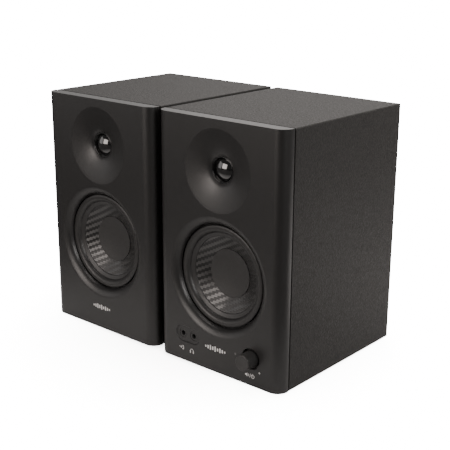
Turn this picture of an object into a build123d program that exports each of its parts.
from build123d import *
import math
import os

# A pair of two-way desktop speakers: an active one on the right that holds the amplifier
# and the controls, and a passive one on the left. Millimetres, +Z up, front towards -Y.
# Everything is drawn in one speaker's own frame: x from the middle of the speaker,
# y back from its front face, z up from the table. place() then moves it to its speaker.

os.makedirs("parts", exist_ok=True)

# Cabinet
WIDTH = 140.0               # across one speaker
HEIGHT = 225.0              # cabinet without its feet
DEPTH = 168.0               # front face to rear face
GAP = 7.0                   # between the two cabinets
FOOT_H = 3.0
FOOT_R = 8.0
WALL = 9.0                  # fibreboard thickness
BAFFLE_D = 12.0             # depth of the front moulding that shows from the side
GROOVE = 1.4                # shadow line between moulding and cabinet
GROOVE_IN = 1.6             # how far the shadow line goes in
CORNER_R = 11.0             # rounded upright edges of the front moulding
SKIN = 3.5                  # front moulding's plate
PANEL_IN = 2.0              # rear board's set-back from the cabinet's rear edge

# Front furniture, in the speaker's own frame
WOOFER_Z = 90.7
WOOFER_LIP_R = 53.2         # outer edge of the dish round the woofer
WOOFER_HOLE_R = 46.2
WOOFER_SEAT = 10.5          # depth of the seat that the woofer's frame lies on
TWEETER_Z = 184.5
HORN_R = 36.0               # outer edge of the tweeter's dish
HORN_HOLE_R = 11.7
HORN_DEPTH = 6.8
TWEETER_SEAT = 10.0
KNOB_X, KNOB_Z = 38.4, 27.7
KNOB_R = 7.7
KNOB_OUT = 11.5             # how far the volume knob stands out
KNOB_WELL_R = 9.5
KNOB_WELL_D = 5.0
JACK_X, JACK_Z = -34.15, 28.9
JACK_PITCH = 12.8
JACK_BORE_R = 1.8           # for a 3.5 mm plug
LED_X, LED_Z, LED_R = 21.5, 27.5, 1.0

# Drive units
COIL_R = 12.6               # outside of the woofer's coil former
FLANGE_R = 54.0
SCREW_RING_R = 50.5
DOME_R = 9.5

# Rear
REAR_OUT = 16.0             # how far the rear knobs stand out
PORT_Z = 190.0
PORT_R = 16.0
PORT_LEN = 88.0
TONE_X, TONE_Z = 24.0, 146.0
TONE_R = 6.5
BALANCED_X, BALANCED_Z = 20.0, 119.0
BALANCED_BORE_R = 3.2       # for a 6.35 mm plug
RCA_X, RCA_Z = 9.0, 93.0
CLIP_Z = 64.0               # spring terminals
CLIP_PITCH = 16.0
INLET_X, INLET_Z = 28.0, 36.0

FRONT_Y = KNOB_OUT - (KNOB_OUT + DEPTH + REAR_OUT) / 2
Z0, Z1 = FOOT_H, FOOT_H + HEIGHT
HALF = WIDTH / 2
INNER = HALF - WALL
INNER_Z0, INNER_Z1 = Z0 + WALL, Z1 - WALL
RIM_Y = BAFFLE_D + GROOVE
BOARD_Y1 = DEPTH - PANEL_IN             # rear face of the rear board
BOARD_Y0 = BOARD_Y1 - WALL
PCB = 1.6
AMP_PCB_Y = 140.4                       # front face of the rear circuit boards
FRONT_PCB_Y = 17.5                      # front face of the control board
SPEAKERS = {"active": (WIDTH + GAP) / 2, "passive": -(WIDTH + GAP) / 2}
MADE = {}


# ---------------------------------------------------------------- helpers

def block(x0, x1, y0, y1, z0, z1):
    return Pos((x0 + x1) / 2, (y0 + y1) / 2, (z0 + z1) / 2) * Box(x1 - x0, y1 - y0, z1 - z0)


def rod(x, z, radius, y0, y1):
    """A round bar that runs from front to back."""
    return Pos(x, (y0 + y1) / 2, z) * Rot(90, 0, 0) * Cylinder(radius, y1 - y0)


def tube(x, z, r_in, r_out, y0, y1):
    return rod(x, z, r_out, y0, y1) - rod(x, z, r_in, y0 - 1, y1 + 1)


def turned(outline, x=0.0, z=0.0):
    """Turn a closed outline of (radius, depth) edges about a front-to-back axis."""
    face = make_face(outline)
    return Pos(x, 0, z) * revolve(face, Axis.Y)


def turned_points(points, x=0.0, z=0.0):
    return turned(Polyline(*points, close=True), x, z)


def bowl_arc(rim, edge, middle):
    """Arc of a sphere centred on the axis, from its rim to the axis."""
    rise = middle - edge
    radius = (rim ** 2 + rise ** 2) / (2 * rise)
    half = math.asin(rim / radius) / 2
    halfway = (radius * math.sin(half), middle - radius * (1 - math.cos(half)))
    return ThreePointArc((abs(rim), edge), (abs(halfway[0]), halfway[1]), (0, middle))


def ring_spots(count, radius, x, z, start=0.0):
    """Points (x, z) spaced evenly round a circle."""
    for i in range(count):
        a = math.radians(start + 360 / count * i)
        yield x + radius * math.cos(a), z + radius * math.sin(a)


def total(shapes):
    whole = None
    for shape in shapes:
        whole = shape if whole is None else whole + shape
    return whole


def solids_of(shape):
    return list(shape.solids())


def place(side, node, *shapes):
    """Store the solids of one node, moved to its speaker."""
    solids = [s for shape in shapes for s in solids_of(shape)]
    moved = [Pos(SPEAKERS[side], FRONT_Y, 0) * s for s in solids]
    MADE[f"{side}_{node}"] = moved[0] if len(moved) == 1 else Compound(children=moved)


def wire(points, radius):
    """A lead: straight runs joined by tangent arcs as large as the runs allow."""
    spots = [Vector(*p) for p in points]
    radii = []
    for before, at, after in zip(spots, spots[1:], spots[2:]):
        turn = math.radians((at - before).get_angle(after - at))
        shorter = min((at - before).length, (after - at).length)
        radii.append(0.45 * shorter / math.tan(turn / 2))
    path = FilletPolyline(*points, radius=radii)
    start = Plane(origin=path @ 0, z_dir=path % 0)
    return sweep(start * Circle(radius), path)


# ---------------------------------------------------------------- cabinet

def cabinet_wrap():
    outer = block(-HALF, HALF, RIM_Y, DEPTH, Z0, Z1)
    outer = fillet(outer.edges().filter_by(Axis.Y), 1.0)
    inner = block(-INNER, INNER, RIM_Y - 1, DEPTH + 1, INNER_Z0, INNER_Z1)
    pegs = total(rod(x, z, 2.3, RIM_Y - 1, RIM_Y + 9.5) for x, z in peg_spots())
    return outer - inner - pegs


def peg_spots():
    for x in (-HALF + 4.8, HALF - 4.8):
        for z in (Z0 + 24, Z1 - 24):
            yield x, z


def rounded_slab(half, y0, y1, corner, z0, z1):
    """A slab whose two front upright edges are rounded."""
    section = Rectangle(2 * half, y1 - y0)
    front = section.vertices().group_by(Axis.Y)[0]
    section = fillet(front, corner)
    return Pos(0, (y0 + y1) / 2, z0) * extrude(section, z1 - z0)


def horn_outline():
    """Smooth dish from the front face down to the tweeter's ring."""
    dish = Spline((HORN_R, 0), (28.5, 1.15), (19.5, 3.7), (HORN_HOLE_R, HORN_DEPTH),
                  tangents=((-1, 0.1), (-1, 0.5)))
    back = Polyline((HORN_HOLE_R, HORN_DEPTH), (HORN_HOLE_R, TWEETER_SEAT + 1),
                    (0, TWEETER_SEAT + 1), (0, -1), (HORN_R, -1), (HORN_R, 0))
    return dish + back


def woofer_dish_outline():
    """Rounded shoulder, steep wall and a soft foot, then the hole for the woofer."""
    dish = Spline((WOOFER_LIP_R, 0), (51.1, 0.85), (48.4, 3.6), (46.5, 6.7),
                  tangents=((-1, 0.12), (-0.4, 1)))
    back = Polyline((46.5, 6.7), (WOOFER_HOLE_R, 6.9), (WOOFER_HOLE_R, WOOFER_SEAT + 1),
                    (0, WOOFER_SEAT + 1), (0, -1), (WOOFER_LIP_R, -1), (WOOFER_LIP_R, 0))
    return dish + back


def woofer_screws():
    return list(ring_spots(4, SCREW_RING_R, 0, WOOFER_Z, 45))


def tweeter_screws():
    return list(ring_spots(3, 20.0, 0, TWEETER_Z, 90))


def front_baffle(side):
    body = rounded_slab(HALF, 0, BAFFLE_D, CORNER_R, Z0, Z1)
    body = fillet(body.edges().group_by(Axis.Z)[0] + body.edges().group_by(Axis.Z)[-1], 0.7)
    inset = GROOVE_IN
    body += block(-HALF + inset, HALF - inset, BAFFLE_D - 1, RIM_Y, Z0 + inset, Z1 - inset)
    wall = inset + 3.0
    body -= rounded_slab(HALF - wall, SKIN, RIM_Y + 1, 8.0, Z0 + wall, Z1 - wall)
    body += rod(0, WOOFER_Z, 57.0, 1.0, WOOFER_SEAT)
    body += rod(0, TWEETER_Z, 29.0, 1.0, TWEETER_SEAT)
    for x, z in peg_spots():
        body += rod(x, z, 3.0, 8.0, RIM_Y) + rod(x, z, 2.2, RIM_Y - 1, RIM_Y + 9)
    body -= turned(woofer_dish_outline(), 0, WOOFER_Z)
    body -= turned(horn_outline(), 0, TWEETER_Z)
    body -= total(rod(x, z, 1.35, 5.0, WOOFER_SEAT + 1) for x, z in woofer_screws())
    body -= total(rod(x, z, 1.15, 5.5, TWEETER_SEAT + 1) for x, z in tweeter_screws())
    if side == "active":
        body += rod(KNOB_X, KNOB_Z, 11.5, 1.0, KNOB_WELL_D + 2)
        body -= rod(KNOB_X, KNOB_Z, KNOB_WELL_R, -1, KNOB_WELL_D)
        body -= rod(KNOB_X, KNOB_Z, 3.7, 0, KNOB_WELL_D + 3)
        pill = SlotOverall(28.0, 15.0)
        body -= Pos(JACK_X, 1.0, JACK_Z) * Rot(90, 0, 0) * extrude(pill, 3.0)
        body -= total(rod(x, JACK_Z, 4.1, 0, SKIN + 1) for x in jack_columns())
        body -= rod(LED_X, LED_Z, LED_R + 0.05, -1, SKIN + 1)
    return body


def back_panel(side):
    body = block(-INNER, INNER, BOARD_Y0, BOARD_Y1, INNER_Z0, INNER_Z1)
    body -= rod(0, PORT_Z, PORT_R + 2.2, BOARD_Y0 - 1, BOARD_Y1 + 1)
    if side == "active":
        body -= block(-50, 50, BOARD_Y0 - 1, BOARD_Y1 + 1, 24, 158)
        spots, reach = panel_screws(), BOARD_Y0 + 2
    else:
        body -= block(-18, 18, BOARD_Y0 - 1, BOARD_Y1 + 1, CLIP_Z - 14, CLIP_Z + 14)
        spots, reach = cup_screws(), BOARD_Y0 + 2
    body -= total(rod(x, z, 1.55, reach - 1, BOARD_Y1 + 1) for x, z in spots)
    return body


def feet():
    return [Pos(x, y, FOOT_H / 2) * Cylinder(FOOT_R, FOOT_H)
            for x in (-46, 46) for y in (26, DEPTH - 24)]


def port_tube():
    """Flared reflex port with a flange that lies on the rear board."""
    inner = PORT_R
    flare = RadiusArc((inner, DEPTH - 9), (inner + 6, DEPTH), 11.0)
    rest = Polyline((inner + 6, DEPTH), (inner + 9, DEPTH), (inner + 9, BOARD_Y1),
                    (inner + 2, BOARD_Y1), (inner + 2, DEPTH - PORT_LEN),
                    (inner, DEPTH - PORT_LEN), (inner, DEPTH - 9))
    return turned(flare + rest, 0, PORT_Z)


def damping_pad():
    """Slab of wadding that lines one side wall."""
    slab = block(-INNER, -INNER + 9, 62, 124, 44, 206)
    return fillet(slab.edges().group_by(Axis.X)[-1], 3.0)


# ---------------------------------------------------------------- woofer

def cone_front(radius):
    """Depth of the cone's front surface at a radius."""
    return 10.4 + 0.42 * (37.8 - radius) + 0.004 * (37.8 - radius) ** 2


def woofer_basket():
    body = turned_points([
        (42.6, WOOFER_SEAT), (FLANGE_R, WOOFER_SEAT), (FLANGE_R, 12.0), (44.9, 12.0),
        (44.9, 15.0), (34.6, 25.6), (34.6, 31.0), (16.0, 31.0), (16.0, 29.8),
        (30.6, 29.8), (30.6, 25.6), (33.2, 25.6), (43.6, 14.4), (43.6, 12.0), (42.6, 12.0),
    ])
    window = block(34, 46, 16.0, 24.6, -12, 12)
    for i in range(6):
        body -= Rot(0, 60 * i, 0) * window
    tag = block(-6, 6, 20.0, 32.0, 35.2, 41.0) - block(-20, 20, 0, 60, 34, 35.2)
    body += tag
    body = Pos(0, 0, WOOFER_Z) * body
    return body - total(rod(x, z, 1.8, 9, 14) for x, z in woofer_screws())


def woofer_magnet():
    return tube(0, WOOFER_Z, 16.0, 32.5, 35.0, 48.0)


def woofer_pole_plates():
    top = tube(0, WOOFER_Z, 13.9, 30.0, 31.0, 35.0)
    yoke = rod(0, WOOFER_Z, 31.0, 48.0, 52.0) + rod(0, WOOFER_Z, 11.9, 31.5, 49.0)
    return top, yoke - rod(0, WOOFER_Z, 3.0, 30, 60)


def woofer_surround():
    """Rubber half-roll with a small bead where it is glued to the cone."""
    edge = cone_front(34.5)
    front = Polyline((45.4, WOOFER_SEAT), (45.4, 9.0), (44.9, 8.8))
    roll = ThreePointArc((44.9, 8.8), (41.55, 5.9), (38.2, 9.4))
    bead = ThreePointArc((38.2, 9.4), (36.3, 9.75), (34.5, edge - 0.35))
    under = Polyline((34.5, edge - 0.35), (34.5, edge), (37.8, 10.4), (39.0, 9.9))
    inside = ThreePointArc((39.0, 9.9), (41.55, 6.9), (44.0, 9.6))
    foot = Polyline((44.0, 9.6), (43.7, WOOFER_SEAT), (45.4, WOOFER_SEAT))
    return turned(front + roll + bead + under + inside + foot, 0, WOOFER_Z)


def woofer_cone():
    radii = (37.8, 34.5, 28.0, 21.0, COIL_R)
    front = [(r, cone_front(r)) for r in radii]
    back = [(r, y + 0.8) for r, y in reversed(front)]
    return turned_points(front + back, 0, WOOFER_Z)


def woofer_dust_cap():
    """Shallow bowl glued on the cone."""
    rim = 22.0
    depth = cone_front(rim)
    front = bowl_arc(rim, depth - 0.7, depth + 2.3)
    middle = Line((0, depth + 2.3), (0, depth + 3.0))
    back = bowl_arc(rim - 1.0, depth + 0.2, depth + 3.0)
    start = Polyline((rim - 1.0, depth + 0.2), (rim, depth), (rim, depth - 0.7))
    return turned(front + middle + back + start, 0, WOOFER_Z)


def woofer_spider():
    """Corrugated cloth disc that centres the coil."""
    inner, outer, depth, thick = COIL_R, 33.2, 25.0, 0.5
    waves = 4
    steps = 8 * waves
    line = []
    for i in range(steps + 1):
        s = i / steps
        swell = 0.9 * math.sin(2 * math.pi * waves * s) * min(1, 6 * s, 6 * (1 - s))
        line.append((inner + (outer - inner) * s, depth + swell))
    back = [(r, y + thick) for r, y in reversed(line)]
    return turned_points(line + back, 0, WOOFER_Z)


def woofer_voice_coil():
    body = tube(0, WOOFER_Z, COIL_R - 0.35, COIL_R, cone_front(COIL_R), 38.0)
    return body + tube(0, WOOFER_Z, COIL_R - 0.1, COIL_R + 0.8, 29.5, 36.5)


# ---------------------------------------------------------------- tweeter

def tweeter_frame():
    body = turned_points([
        (9.9, 9.0), (11.1, HORN_DEPTH), (HORN_HOLE_R - 0.1, HORN_DEPTH),
        (HORN_HOLE_R - 0.1, TWEETER_SEAT), (25.0, TWEETER_SEAT), (25.0, 13.0), (9.9, 13.0),
    ], 0, TWEETER_Z)
    return body - total(rod(x, z, 1.5, 9, 14) for x, z in tweeter_screws())


def tweeter_motor():
    cup = turned_points([
        (10.4, 13.0), (14.5, 13.0), (14.5, 28.0), (0, 28.0), (0, 25.0), (12.2, 25.0),
        (12.2, 15.5), (10.4, 15.5),
    ], 0, TWEETER_Z)
    return cup, rod(0, TWEETER_Z, 8.6, 14.0, 25.0)


def tweeter_dome():
    """Thin hard dome on its coil former."""
    rise, thick = 3.6, 0.4
    outer = bowl_arc(DOME_R, 9.0, 9.0 - rise)
    middle = Line((0, 9.0 - rise), (0, 9.0 - rise + thick))
    inner = bowl_arc(DOME_R - 0.5, 9.2, 9.0 - rise + thick)
    skirt = Polyline((DOME_R - 0.5, 9.2), (DOME_R - 0.5, 16.0), (DOME_R, 16.0), (DOME_R, 9.0))
    return turned(outer + middle + inner + skirt, 0, TWEETER_Z)


def driver_screws():
    for x, z in woofer_screws():
        yield rod(x, z, 3.1, 12.0, 13.6) + rod(x, z, 1.3, 5.6, 12.5)
    for x, z in tweeter_screws():
        yield rod(x, z, 2.4, 13.0, 14.4) + rod(x, z, 1.1, 6.2, 13.5)


# ---------------------------------------------------------------- front controls

def jack_columns():
    return JACK_X - JACK_PITCH / 2, JACK_X + JACK_PITCH / 2


def front_jacks():
    for x in jack_columns():
        body = block(x - 5.6, x + 5.6, SKIN + 0.1, FRONT_PCB_Y, JACK_Z - 5, JACK_Z + 6)
        body += rod(x, JACK_Z, 3.9, 1.2, SKIN + 1)
        yield body - rod(x, JACK_Z, JACK_BORE_R, 0, 15.5)


def control_board():
    board = block(-54, 54, FRONT_PCB_Y, FRONT_PCB_Y + PCB, 14.5, 37)
    plug = block(-45, -31, FRONT_PCB_Y + PCB, FRONT_PCB_Y + PCB + 5, 20, 26)
    chip = block(-8, 2, FRONT_PCB_Y + PCB, FRONT_PCB_Y + PCB + 1.5, 18, 28)
    posts = [rod(x, KNOB_Z, 2.0, SKIN, FRONT_PCB_Y) for x in (-52.2, 52.2)]
    return [board, plug, chip] + posts


def encoder_body():
    """Rotary encoder with a push switch; hollow round its shaft and plunger."""
    body = block(KNOB_X - 6, KNOB_X + 6, 9.0, FRONT_PCB_Y, KNOB_Z - 6, KNOB_Z + 6)
    body += rod(KNOB_X, KNOB_Z, 3.5, KNOB_WELL_D + 0.6, 9.5)
    body -= rod(KNOB_X, KNOB_Z, 3.05, 0, 12.0)
    return body - rod(KNOB_X, KNOB_Z, 4.0, 10.4, 15.6)


def volume_shaft():
    shaft = rod(KNOB_X, KNOB_Z, 3.0, -7.0, 12.0)
    return shaft - block(KNOB_X - 4, KNOB_X + 4, -8, 1.5, KNOB_Z + 1.5, KNOB_Z + 4)


def power_switch_plunger():
    return rod(KNOB_X, KNOB_Z, 3.4, 12.0, 14.4)


def volume_knob():
    body = rod(KNOB_X, KNOB_Z, KNOB_R, -KNOB_OUT, KNOB_WELL_D - 1.4)
    body = fillet(body.edges().group_by(Axis.Y)[0], 0.8)
    bore = rod(KNOB_X, KNOB_Z, 3.0, -7.0, KNOB_WELL_D)
    bore -= block(KNOB_X - 4, KNOB_X + 4, -8, 1.5, KNOB_Z + 1.5, KNOB_Z + 4)
    skirt = tube(KNOB_X, KNOB_Z, 4.6, 6.2, -5.0, KNOB_WELL_D)
    return body - bore - skirt


def power_led():
    pipe = rod(LED_X, LED_Z, LED_R, 0.1, 14.0)
    return pipe + block(LED_X - 2, LED_X + 2, 13, FRONT_PCB_Y, LED_Z - 1.5, LED_Z + 1.5)


# ---------------------------------------------------------------- rear of the active speaker

def panel_screws():
    for x in (-53.0, 53.0):
        for z in (23.0, 68.0, 113.0, 159.0):
            yield x, z


def standoffs(low, high):
    """Spacers that hold a board off the rear plate."""
    return [rod(x, z, 2.6, AMP_PCB_Y + PCB, BOARD_Y1) for x in (-44, 44) for z in (low, high)]


def amp_panel():
    """Metal plate that carries the sockets and takes the amplifier's heat."""
    body = block(-56, 56, BOARD_Y1, DEPTH, 20, 162)
    cuts = [rod(x, TONE_Z, 4.6, 160, DEPTH + 1) for x in (-TONE_X, TONE_X)]
    cuts += [rod(x, BALANCED_Z, 6.0, 160, DEPTH + 1) for x in (-BALANCED_X, BALANCED_X)]
    cuts += [rod(x, RCA_Z, 5.2, 160, DEPTH + 1) for x in (-RCA_X, RCA_X)]
    cuts += [block(-17.2, 17.2, 160, DEPTH + 1, CLIP_Z - 11.2, CLIP_Z + 11.2)]
    cuts += [block(INLET_X - 11.2, INLET_X + 11.2, 160, DEPTH + 1, INLET_Z - 7, INLET_Z + 7)]
    cuts += [rod(x, z, 1.7, 160, DEPTH + 1) for x, z in panel_screws()]
    return body - total(cuts)


def tone_pots():
    """Bodies of the two tone controls, on legs from the amplifier board."""
    for x in (-TONE_X, TONE_X):
        body = block(x - 8, x + 8, 157.0, BOARD_Y1, TONE_Z - 8, TONE_Z + 8)
        body += rod(x, TONE_Z, 4.4, BOARD_Y1 - 1, DEPTH)
        body += block(x - 6, x + 6, AMP_PCB_Y + PCB, 158, TONE_Z - 7.5, TONE_Z - 5)
        yield body - rod(x, TONE_Z, 3.05, 158.5, DEPTH + 1)


def amp_board():
    front = AMP_PCB_Y
    board = block(-48, 48, front, front + PCB, 84, 157)
    sink = block(-32, 4, front - 4, front, 104, 128)
    for i in range(6):
        x = -31 + 6.2 * i
        sink += block(x, x + 2, front - 18, front - 3, 104, 128)
    caps = [rod(x, z, 5.0, front - 16, front) for x in (20, 34) for z in (98, 112)]
    coils = [block(x, x + 12, front - 9, front, 138, 150) for x in (-40, -22)]
    small = [block(x, x + 5, front - 2, front, 92, 97) for x in (-40, -30, -20, -10)]
    return [board, sink] + caps + coils + small + list(tone_pots()) + standoffs(88, 153)


def power_board():
    front = AMP_PCB_Y
    board = block(-48, 48, front, front + PCB, 27, 80)
    core = block(8, 40, front - 22, front, 36, 66)
    winding = block(12, 36, front - 26, front - 22, 40, 62)
    bulk = rod(-14, 50, 9.0, front - 30, front)
    line = [block(x, x + 8, front - 12, front, 60, 74) for x in (-44, -32)]
    return [board, core, winding, bulk] + line + standoffs(31, 77)


def mains_inlet():
    """Two-pin figure-of-eight inlet."""
    x, z = INLET_X, INLET_Z
    body = block(x - 14, x + 14, DEPTH, DEPTH + 1.6, z - 9, z + 9)
    body += block(x - 11, x + 11, 152, DEPTH + 0.5, z - 6.7, z + 6.7)
    half = 4.3
    recess = total(rod(x + s * 4.0, z, half, 155, DEPTH + 3) for s in (-1, 1))
    recess += block(x - 4.0, x + 4.0, 155, DEPTH + 3, z - half, z + half)
    body -= recess
    for s in (-1, 1):
        body += rod(x + s * 4.3, z, 1.18, 154, DEPTH - 1.5)
        body += block(x + s * 4.3 - 1.5, x + s * 4.3 + 1.5, AMP_PCB_Y + PCB, 153, z - 1, z + 1)
    return body


def balanced_jacks():
    """Two 6.35 mm sockets with hexagonal nuts."""
    for x in (-BALANCED_X, BALANCED_X):
        z = BALANCED_Z
        body = block(x - 8, x + 8, AMP_PCB_Y + PCB, BOARD_Y1, z - 8, z + 8)
        body += rod(x, z, 5.8, BOARD_Y1 - 1, DEPTH + 4)
        nut = Pos(x, DEPTH, z) * Rot(-90, 0, 0) * extrude(RegularPolygon(8.0, 6), 2.4)
        body += nut
        yield body - rod(x, z, BALANCED_BORE_R, AMP_PCB_Y + 4, DEPTH + 5)


def rca_jacks():
    for x in (-RCA_X, RCA_X):
        z = RCA_Z
        body = block(x - 8, x + 8, 152, BOARD_Y1, z - 7, z + 7)
        body += rod(x, z, 5.0, BOARD_Y1 - 1, DEPTH) + rod(x, z, 6.4, DEPTH, DEPTH + 1.2)
        body += rod(x, z, 4.15, DEPTH, DEPTH + 9.5)
        body += block(x - 5, x + 5, AMP_PCB_Y + PCB, 153, z - 4, z - 2.5)
        yield body - rod(x, z, 1.6, 158, DEPTH + 10)


def tone_knob(x):
    """Fluted knob and the potentiometer shaft that it is pressed on."""
    z, top = TONE_Z, DEPTH + REAR_OUT
    body = rod(x, z, TONE_R, DEPTH + 0.8, top)
    body = fillet(body.edges().group_by(Axis.Y)[-1], 0.8)
    flutes = total(rod(fx, fz, 0.7, DEPTH - 1, top + 1)
                   for fx, fz in ring_spots(18, TONE_R + 0.35, x, z))
    pointer = block(x - 0.5, x + 0.5, top - 0.6, top + 1, z + 1.5, z + TONE_R + 1)
    shaft = rod(x, z, 3.0, 159.0, DEPTH + 9)
    return body - flutes - pointer - shaft, shaft


# ---------------------------------------------------------------- spring terminals

LEVER_AXIS_Y, LEVER_AXIS_UP = 160.0, 2.0
LEVER_HALF_T = 2.1
LEVER_OUT = 14.0


def clip_columns():
    return -CLIP_PITCH / 2, CLIP_PITCH / 2


def terminal_block(side):
    """Housing with a slot for each lever and a wire hole below each."""
    z = CLIP_Z
    body = block(-17, 17, 152, DEPTH + 6, z - 11, z + 11)
    if side == "passive":
        body += block(-26, 26, BOARD_Y1, DEPTH, z - 20, z + 20)
        body -= total(rod(x, zz, 1.7, 160, DEPTH + 1) for x, zz in cup_screws())
    else:
        body += block(-17, 17, AMP_PCB_Y + PCB, 153, z + 6, z + 8)
    for x in clip_columns():
        top, low = z + LEVER_AXIS_UP + LEVER_HALF_T + 0.4, z - 6.2
        slot = block(x - 5.7, x + 5.7, LEVER_AXIS_Y - 2.6, DEPTH + 7, low, top)
        body -= slot
        body -= rod(x, z - 8.6, 1.5, 158, DEPTH + 7)
    return body


def terminal_lever(x):
    y, z = LEVER_AXIS_Y, CLIP_Z + LEVER_AXIS_UP
    out = DEPTH + LEVER_OUT
    body = block(x - 5.3, x + 5.3, y, out, z - LEVER_HALF_T, z + LEVER_HALF_T)
    body = fillet(body.edges().filter_by(Axis.X).group_by(Axis.Y)[-1], 1.6)
    hub = Pos(x, y, z) * Rot(0, 90, 0) * Cylinder(LEVER_HALF_T, 10.6)
    ridges = total(block(x - 4.3, x + 4.3, yy, yy + 0.8, z + 1.5, z + LEVER_HALF_T + 0.3)
                   for yy in (out - 6.6, out - 4.8, out - 3.0))
    return body + hub + ridges


def cup_screws():
    for x in (-22.0, 22.0):
        for z in (CLIP_Z - 16, CLIP_Z + 16):
            yield x, z


def rear_screws(spots):
    for x, z in spots:
        screw = rod(x, z, 1.5, BOARD_Y0 + 3, DEPTH + 0.5) + rod(x, z, 3.0, DEPTH, DEPTH + 1.5)
        cross = block(x - 1.6, x + 1.6, DEPTH + 0.8, DEPTH + 2, z - 0.35, z + 0.35)
        yield screw - cross - Pos(x, 0, z) * Rot(0, 90, 0) * Pos(-x, 0, -z) * cross


# ---------------------------------------------------------------- inside the passive speaker

def crossover_board():
    """Filter parts on a board that stands off the rear board."""
    front = 148.0
    board = block(-32, 32, front, front + PCB, 96, 146)
    posts = [rod(x, z, 2.5, front + PCB, BOARD_Y0) for x in (-27, 27) for z in (101, 141)]
    coil = tube(-14, 121, 6.0, 14.0, front - 12, front)
    cap = block(8, 28, front - 12, front, 104, 116)
    resistor = block(6, 28, front - 7, front, 126, 133)
    return [board] + posts + [coil, cap, resistor]


def driver_leads(board_y, woofer_z, tweeter_z):
    """Two leads to each drive unit, from its tag to the board behind."""
    tag_z = WOOFER_Z + 38.5
    for x in (-3.0, 3.0):
        yield wire([(x, 32.0, tag_z), (x, 52.0, tag_z), (x + 5, 84.0, tag_z - 8),
                    (x + 6, 116.0, woofer_z), (x + 6, board_y, woofer_z)], 0.8)
    for x in (-3.0, 3.0):
        yield wire([(x, 13.0, TWEETER_Z - 19), (x, 32.0, TWEETER_Z - 19),
                    (x - 5, 66.0, TWEETER_Z - 30), (x - 6, 104.0, tweeter_z),
                    (x - 6, board_y, tweeter_z)], 0.8)


def control_ribbon():
    """Flat cable from the control board to the amplifier board."""
    start = FRONT_PCB_Y + PCB + 5
    spine = [(start, 23.0), (58.0, 20.0), (104.0, 24.0), (122.0, 84.0), (AMP_PCB_Y, 87.0)]
    upper = [(-38, y, z + 0.5) for y, z in spine]
    lower = [(-38, y, z - 0.5) for y, z in reversed(spine)]
    outline = make_face(Polyline(*(upper + lower), close=True))
    return extrude(outline, amount=5, dir=(1, 0, 0), both=True)


# ---------------------------------------------------------------- assembly

for side in SPEAKERS:
    place(side, "cabinet_wrap", cabinet_wrap())
    place(side, "back_panel", back_panel(side))
    place(side, "front_baffle", front_baffle(side))
    place(side, "feet", *feet())
    place(side, "port_tube", port_tube())
    place(side, "damping_pad", damping_pad())
    place(side, "woofer_basket", woofer_basket())
    place(side, "woofer_magnet", woofer_magnet())
    place(side, "woofer_pole_plates", *woofer_pole_plates())
    place(side, "woofer_surround", woofer_surround())
    place(side, "woofer_cone", woofer_cone())
    place(side, "woofer_dust_cap", woofer_dust_cap())
    place(side, "woofer_spider", woofer_spider())
    place(side, "woofer_voice_coil", woofer_voice_coil())
    place(side, "tweeter_frame", tweeter_frame())
    place(side, "tweeter_motor", *tweeter_motor())
    place(side, "tweeter_dome", tweeter_dome())
    place(side, "terminal_block", terminal_block(side))
    place(side, "terminal_lever_red", terminal_lever(clip_columns()[0]))
    place(side, "terminal_lever_black", terminal_lever(clip_columns()[1]))

place("active", "screws", *driver_screws(), *rear_screws(panel_screws()))
place("active", "wiring", *driver_leads(AMP_PCB_Y, 100.0, 133.0), control_ribbon())
place("active", "amp_panel", amp_panel())
place("active", "amp_board", *amp_board())
place("active", "power_board", *power_board())
place("active", "mains_inlet", mains_inlet())
place("active", "balanced_jacks", *balanced_jacks())
place("active", "rca_jacks", *rca_jacks())
place("active", "treble_knob", *tone_knob(-TONE_X))
place("active", "bass_knob", *tone_knob(TONE_X))
place("active", "volume_knob", volume_knob())
place("active", "volume_shaft", volume_shaft())
place("active", "power_switch_plunger", power_switch_plunger())
place("active", "encoder_body", encoder_body())
place("active", "front_jacks", *front_jacks())
place("active", "control_board", *control_board())
place("active", "power_led", power_led())

place("passive", "screws", *driver_screws(), *rear_screws(cup_screws()))
place("passive", "wiring", *driver_leads(148.0, 121.0, 139.0))
place("passive", "crossover_board", *crossover_board())

for node, shape in MADE.items():
    export_step(shape, f"parts/{node}.step")
print(len(MADE), "nodes")
